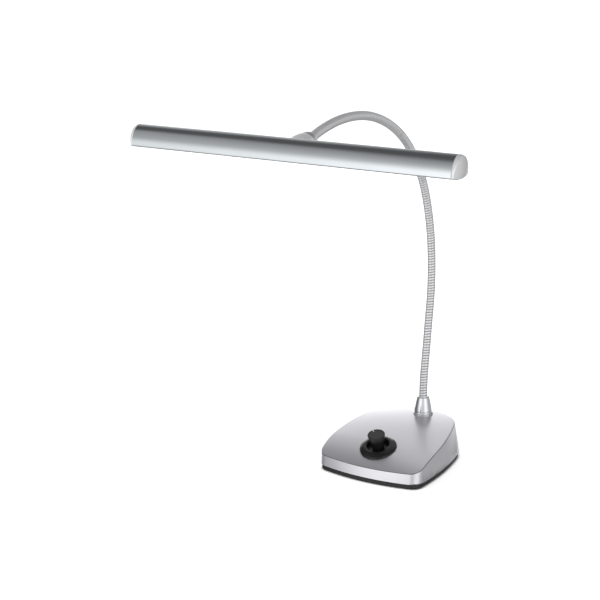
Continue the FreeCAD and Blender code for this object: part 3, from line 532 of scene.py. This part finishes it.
def swollen(work):  # pushes the flat outer face of an end cap out into a shallow dome
    side = 1 if sum(vert.co.x for vert in work.verts) > 0 else -1
    far = max(side * vert.co.x for vert in work.verts)
    flat = [vert for vert in work.verts if side * vert.co.x > far - capSet["flat"]]
    centre = sum((vert.co for vert in flat), Vector()) / len(flat)
    reach = max((vert.co - centre).length for vert in flat)
    marked = set(flat)
    inner = [edge for edge in work.edges if all(vert in marked for vert in edge.verts)]
    bmesh.ops.subdivide_edges(work, edges=inner, cuts=capSet["cuts"], use_grid_fill=True)
    triangulate(work)
    for vert in work.verts:
        share = (side * vert.co.x - far + capSet["edge"]) / capSet["edge"]
        share = min(1.0, max(0.0, share))
        aside = Vector((0, vert.co.y - centre.y, vert.co.z - centre.z)).length
        away = min(1.0, aside / reach)
        vert.co.x += side * capSet["swell"] * share * (1 - away**2)


def smoothSkin(node, sharp, shape):  # welded copy of a solid, smooth but for its real edges
    mesh = solids[node].data.copy()
    work = bmesh.new()
    work.from_mesh(mesh)
    bmesh.ops.remove_doubles(work, verts=work.verts, dist=skinSet["weld"])
    bmesh.ops.dissolve_degenerate(work, edges=work.edges, dist=skinSet["sliver"])
    triangulate(work)
    if shape:
        shape(work)
    work.to_mesh(mesh)
    work.free()
    smoothFaces(mesh, sharp)
    piece = linkPiece("skin_" + node, mesh)
    even = piece.modifiers.new("even", "WEIGHTED_NORMAL")  # small faces bend the shading less
    even.keep_sharp = True
    keepShape(piece)
    takePlace(piece, node)


for node in ("base_shell", "base_plate", "head_boss", "end_cap_left", "end_cap_right",
             "diffuser", "dc_jack"):
    sharp = skinSet["shellSharp"] if node == "base_shell" else skinSet["sharp"]
    smoothSkin(node, sharp, swollen if "end_cap" in node else None)
print("lamp: skins made")


def jointFrame(name, back=0.0):  # a point set back along a joint's axis, and the axis
    axis = Vector(joints[name]["axis"]).normalized()
    return Vector(joints[name]["pos_m"]) - axis * back, axis


def closedMesh(name, verts, faces, sharp, material):  # welded, facing out, smooth but for edges
    mesh = bpy.data.meshes.new(name)
    mesh.from_pydata(verts, [], faces)
    work = bmesh.new()
    work.from_mesh(mesh)
    bmesh.ops.remove_doubles(work, verts=work.verts, dist=skinSet["weld"])
    bmesh.ops.recalc_face_normals(work, faces=work.faces)
    work.to_mesh(mesh)
    work.free()
    smoothFaces(mesh, sharp)
    mesh.materials.append(material)
    return mesh


latheSet = {"sides": 96, "sharp": 32.0}


def softened(start, pull, end, steps=8):  # curve from start to end, pulled towards a third point
    points = []
    for step in range(1, steps + 1):
        t = step / steps
        points.append(tuple((1 - t)**2 * a + 2 * t * (1 - t) * b + t**2 * c
                            for a, b, c in zip(start, pull, end)))
    return points


def lathe(node, profile, base, axis):  # solid turned from a closed profile of (radius, height) mm
    turn = Vector((0, 0, 1)).rotation_difference(Vector(axis).normalized()).to_matrix()
    verts, faces = [], []
    count, sides = len(profile), latheSet["sides"]
    for side in range(sides):
        angle = 2 * math.pi * side / sides
        for radius, height in profile:
            local = Vector((radius * math.cos(angle), radius * math.sin(angle), height)) / 1000
            verts.append(tuple(Vector(base) + turn @ local))
        here, after = side * count, (side + 1) % sides * count
        for index in range(count):
            ahead = (index + 1) % count
            faces.append((here + index, after + index, after + ahead, here + ahead))
    mesh = closedMesh(node + "Turned", verts, faces, latheSet["sharp"], finishOf(node))
    takePlace(linkPiece("turned_" + node, mesh), node)


footLean = math.radians(-0.6)  # of the collar and of the neck's foot
collarSet = {"foot": 12.35, "waist": 10.9, "neck": 7.6, "top": 22.6, "bore": 5.15, "low": -1.2,
             "root": 0.0283}  # metres from the collar's foot up to the first hinge


def makeCollar():
    axis = Vector((0, math.sin(footLean), math.cos(footLean)))
    base = jointFrame("neck_bend_1")[0] - axis * collarSet["root"]
    foot, waist, rim, top, bore, low = (
        collarSet[key] for key in ("foot", "waist", "neck", "top", "bore", "low"))
    profile = [(bore, low), (foot - 0.3, low), (foot - 0.05, 0.0)]  # sunk into the shell
    profile += softened((foot - 0.05, 0.0), (foot + 0.25, 1.3), (foot - 0.6, 1.5))  # flange
    profile += softened(profile[-1], (waist - 0.1, 1.9), (waist, 4.4))
    profile += softened((waist, 4.4), ((waist + rim) / 2 + 0.5, 13.0), (rim, top - 1.4), 12)
    profile += softened((rim, top - 1.4), (rim - 0.15, top), (rim - 1.4, top))  # round top edge
    lathe("neck_collar", profile + [(bore, top)], base, axis)


knuckleSet = {"length": 13.0, "foot": 5.1, "start": 6.0, "end": 11.0, "bulge": 1.3, "spigot": 4.5,
              "reach": 9.0, "bore": 2.5, "seat": 5.0}


def makeKnuckle():
    length, foot, start, end, bulge, spigot, reach, bore, seat = knuckleSet.values()
    profile = [(bore, seat), (foot, seat), (foot, 0.0)]  # socket for the neck
    profile += softened((foot, 0.0), (6.0, 0.0), (start + 0.2, 0.8), 4)
    profile += softened(profile[-1], (8.5 + bulge, 6.0), (end, length - 0.4), 12)  # flared wall
    profile += [(end - 0.4, length), (spigot, length), (spigot, length + reach),
                (bore, length + reach)]
    lathe("neck_ferrule", profile, *jointFrame("head_swivel", length / 1000))


bezelSet = {"rim": 22.25, "edge": 0.4, "crest": 15.6, "height": 4.0, "well": 12.8, "floor": -2.0,
            "bore": 3.6, "low": -3.0}


def makeBezel():
    rim, edge, crest, high, well, floor, bore, low = bezelSet.values()
    profile = [(bore, floor), (bore, low), (rim, low), (rim, edge)]
    profile += softened((rim, edge), (rim - 0.1, edge + 0.7), (rim - 0.7, edge + 1.0), 4)
    profile += softened(profile[-1], (crest + 2.2, high), (crest, high), 12)  # slope to the crest
    profile += softened((crest, high), (crest - 1.5, high), (crest - 1.8, high - 0.7))
    lathe("knob_bezel", profile + [(well, floor)], *jointFrame("knob_turn"))


knobSet = {"top": 19.25, "dish": 0.25, "cap": 10.5, "waist": 8.7, "capFoot": 9.0, "skirt": 7.4,
           "low": -0.8}


def makeKnob():
    top, dish, cap, waist, capFoot, skirt, low = knobSet.values()
    profile = [(0.0, top - dish), (cap - 2.2, top - dish), (cap - 1.8, top), (cap - 0.8, top)]
    profile += softened((cap - 0.8, top), (cap, top), (cap, top - 0.9), 6)  # round top edge
    profile += [(waist, capFoot), (skirt, capFoot - 0.6), (skirt, low), (0.0, low)]
    lathe("dimmer_knob", profile, *jointFrame("knob_turn"))


makeCollar()
makeKnuckle()
makeBezel()
makeKnob()
print("lamp: turned pieces made")


headSet = {"reach": 0.0337, "half": 0.0169, "rise": 0.0049, "dome": 0.0149, "corner": 0.0021,
           "leastCorner": 0.0003, "under": 0.053, "wall": 0.0016, "opening": 0.0125,
           "end": 0.1881, "stations": 6, "steps": 14, "cornerSteps": 5, "sharp": 28.0}


def headSection(inset):  # from the lip of the opening round the back, over the dome and down
    half, rise, dome = headSet["half"], headSet["rise"], headSet["dome"]
    bow = (half**2 + rise**2 - dome**2) / (2 * (half - dome))  # radius of the sides
    corner = max(headSet["corner"] - inset, headSet["leastCorner"])
    cornerY = half - inset - corner
    under = headSet["under"] - inset
    underZ = math.sqrt((under - corner)**2 - cornerY**2)
    lip = -math.acos(headSet["opening"] / under)
    meet = math.atan2(-underZ, cornerY)
    shoulder = math.atan2(rise, bow - half)
    steps, cornerSteps = headSet["steps"], headSet["cornerSteps"]
    arcs = [((0.0, underZ), under, lip, meet, steps),
            ((cornerY, 0.0), corner, meet, 0.0, cornerSteps),
            ((half - bow, 0.0), bow - inset, 0.0, shoulder, steps),
            ((0.0, rise), dome - inset, shoulder, math.pi / 2, steps)]
    points = []
    for (y, z), radius, start, end, count in arcs:
        for step in range(count):
            angle = start + (end - start) * step / count
            points.append((y + radius * math.cos(angle), z + radius * math.sin(angle)))
    top = (0.0, rise + dome - inset)
    return points + [top] + [(-y, z) for y, z in reversed(points)]


def makeHead():
    centre = jointFrame("head_swivel", -headSet["reach"])[0]
    ring = headSection(0.0) + list(reversed(headSection(headSet["wall"])))
    count, each = len(ring), headSet["stations"]
    stations = [headSet["end"] * step / each for step in range(-each, each + 1)]
    verts = [tuple(centre + Vector((x, y, z))) for x in stations for y, z in ring]
    faces = []
    last = len(stations) - 1
    for row in range(last):
        here, onward = row * count, (row + 1) * count
        for index in range(count):
            after = (index + 1) % count
            faces.append((here + index, here + after, onward + after, onward + index))
    for row, turned in ((0, False), (last, True)):  # the two cut ends
        for index in range(count // 2 - 1):
            corners = (index, index + 1, count - 2 - index, count - 1 - index)
            quad = [row * count + corner for corner in corners]
            faces.append(tuple(quad if turned else reversed(quad)))
    mesh = closedMesh("headSkin", verts, faces, headSet["sharp"], finishOf("head_profile"))
    takePlace(linkPiece("skin_head_profile", mesh), "head_profile")


makeHead()
print("lamp: head skin made")


neckSet = {
    "links": 8, "radius": 0.0052, "groove": 0.0008, "pitch": 0.0034, "step": 0.00028, "sides": 32,
    "footInset": 0.0195, "endInset": 0.0045,  # how far the ribs run into the collar and knuckle
    "cuts": 24,  # straight pieces between two hinges
    "bend": 0.034, "lastAim": 20,  # reach of a hinge's bend, and the point that the last aims at
}
neckPlane = jointFrame("neck_bend_1")[1]  # square to the plane in which the neck lies


def hermite(start, startDir, end, endDir, t):
    reach = (end - start).length
    return ((2 * t**3 - 3 * t**2 + 1) * start + (t**3 - 2 * t**2 + t) * reach * startDir
            + (3 * t**2 - 2 * t**3) * end + (t**3 - t**2) * reach * endDir)


def neckStretches():  # a list of points for each hinge, from mid link to mid link
    links, cuts = neckSet["links"], neckSet["cuts"]
    knots = [jointFrame("neck_bend_%d" % i)[0] for i in range(1, links + 1)]
    knuckle = knuckleSet["length"] / 1000
    tip, endDir = jointFrame("head_swivel", knuckle - neckSet["endInset"])
    knots.append(tip)
    up = Vector((0, 0, 1))
    startDir = (up * math.cos(footLean) + up.cross(neckPlane) * math.sin(footLean)).normalized()
    dirs = [startDir]
    for before, here, after in zip(knots, knots[1:], knots[2:]):
        dirs.append(((here - before).normalized() + (after - here).normalized()).normalized())
    dirs.append(endDir)
    stretches = [[knots[0] - startDir * neckSet["footInset"], knots[0]]]
    for index in range(links):
        points = [hermite(knots[index], dirs[index], knots[index + 1], dirs[index + 1], t / cuts)
                  for t in range(cuts + 1)]
        if index == links - 1:
            stretches[-1] += points[1:]
        else:
            stretches[-1] += points[1:cuts // 2 + 1]
            stretches.append(points[cuts // 2:])
    return stretches


def ribTree():
    tree, source, result = newGroup("gooseneckRibs", [
        ("Path", "NodeSocketGeometry", None), ("Radius", "NodeSocketFloat", 0.005),
        ("Groove", "NodeSocketFloat", 0.0004), ("Pitch", "NodeSocketFloat", 0.0034),
        ("Start", "NodeSocketFloat", 0.0), ("Rings", "NodeSocketInt", 100),
        ("Sides", "NodeSocketInt", 24), ("Plane", "NodeSocketVector", None),
        ("Metal", "NodeSocketMaterial", None)],
        [("Ribs", "NodeSocketGeometry")], "GeometryNodeTree")
    curve = addNode(tree, "GeometryNodeMeshToCurve", inputs={"Mesh": source["Path"]})
    even = addNode(tree, "GeometryNodeResampleCurve", inputs={
        "Curve": curve.outputs[0], "Count": source["Rings"]})
    geometry = even.outputs[0]
    kept = {}
    readings = {
        "centre": ("VECTOR", addNode(tree, "GeometryNodeInputPosition").outputs[0]),
        "forward": ("VECTOR", addNode(tree, "GeometryNodeInputTangent").outputs[0]),
        "run": ("FLOAT", addNode(tree, "GeometryNodeSplineParameter").outputs["Length"]),
    }
    for label, (kind, reading) in readings.items():
        store = addNode(tree, "GeometryNodeCaptureAttribute")
        store.capture_items.new(kind, label)
        tree.links.new(geometry, store.inputs[0])
        tree.links.new(reading, store.inputs[1])
        geometry, kept[label] = store.outputs[0], store.outputs[1]
    ring = addNode(tree, "GeometryNodeCurvePrimitiveCircle", inputs={
        "Resolution": source["Sides"], "Radius": source["Radius"]})
    tube = addNode(tree, "GeometryNodeCurveToMesh", inputs={
        "Curve": geometry, "Profile Curve": ring.outputs[0], "Fill Caps": True})
    position = addNode(tree, "GeometryNodeInputPosition").outputs[0]
    outward = vectorNode(tree, "SUBTRACT", position, kept["centre"])
    away = vectorNode(tree, "NORMALIZE", outward)
    over = vectorNode(tree, "CROSS_PRODUCT", kept["forward"], source["Plane"])
    side = vectorNode(tree, "DOT_PRODUCT", away, source["Plane"], output="Value")
    top = vectorNode(tree, "DOT_PRODUCT", away, over, output="Value")
    around = mathNode(tree, "DIVIDE", mathNode(tree, "ARCTAN2", side, top), 2 * math.pi)
    run = mathNode(tree, "ADD", source["Start"], kept["run"])
    turns = mathNode(tree, "DIVIDE", run, source["Pitch"])
    phase = mathNode(tree, "FRACT", mathNode(tree, "ADD", turns, around))
    across = mathNode(tree, "SUBTRACT", mathNode(tree, "MULTIPLY", phase, 2.0), 1.0)
    square = mathNode(tree, "MULTIPLY", across, across)
    wire = mathNode(tree, "SQRT", mathNode(tree, "SUBTRACT", 1.0, square))  # round section
    dip = mathNode(tree, "SUBTRACT", 1.0, wire)
    sunk = mathNode(tree, "MULTIPLY", source["Groove"], dip)
    out = mathNode(tree, "SUBTRACT", source["Radius"], sunk)
    lifted = addNode(tree, "ShaderNodeVectorMath", {"operation": "SCALE"}, {0: away, "Scale": out})
    moved = vectorNode(tree, "ADD", kept["centre"], lifted.outputs[0])
    shaped = addNode(tree, "GeometryNodeSetPosition", inputs={
        "Geometry": tube.outputs[0], "Position": moved})
    marked = addNode(tree, "GeometryNodeStoreNamedAttribute",
                     {"data_type": "FLOAT", "domain": "POINT"},
                     {"Geometry": shaped.outputs[0], "Name": "dip", "Value": dip})
    smooth = addNode(tree, "GeometryNodeSetShadeSmooth", inputs={"Geometry": marked.outputs[0]})
    real = addNode(tree, "GeometryNodeRealizeInstances", inputs={"Geometry": smooth.outputs[0]})
    metal = addNode(tree, "GeometryNodeSetMaterial", inputs={
        "Geometry": real.outputs[0], "Material": source["Metal"]})
    tree.links.new(metal.outputs[0], result["Ribs"])
    return tree


def grow(name, mesh, tree, values):  # runs a node tree on a mesh and keeps what it makes
    seed = linkPiece(name, mesh)
    modifier = seed.modifiers.new("grow", "NODES")
    modifier.node_group = tree
    for item in tree.interface.items_tree:
        if item.item_type == "SOCKET" and item.in_out == "INPUT" and item.name in values:
            modifier[item.identifier] = values[item.name]
    keepShape(seed)
    return seed


def makeNeck():
    tree = ribTree()
    run = 0.0
    for number, points in enumerate(neckStretches(), 1):
        length = sum((b - a).length for a, b in zip(points, points[1:]))
        line = bpy.data.meshes.new("neckLine%d" % number)
        edges = [(i, i + 1) for i in range(len(points) - 1)]
        line.from_pydata([tuple(point) for point in points], edges, [])
        piece = grow("neck_coil_%d" % number, line, tree, {
            "Radius": neckSet["radius"], "Groove": neckSet["groove"],
            "Pitch": neckSet["pitch"], "Start": run,
            "Rings": int(length / neckSet["step"]) + 1, "Sides": neckSet["sides"],
            "Plane": tuple(neckPlane), "Metal": surfaces["neckChrome"]})
        run += length
        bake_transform(piece)
        covered = ["neck_link_%d" % number] + (["neck_root"] if number == 1 else [])
        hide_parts(*covered)
    print("lamp: neck coils made, %.0f mm long" % (run * 1000))


makeNeck()
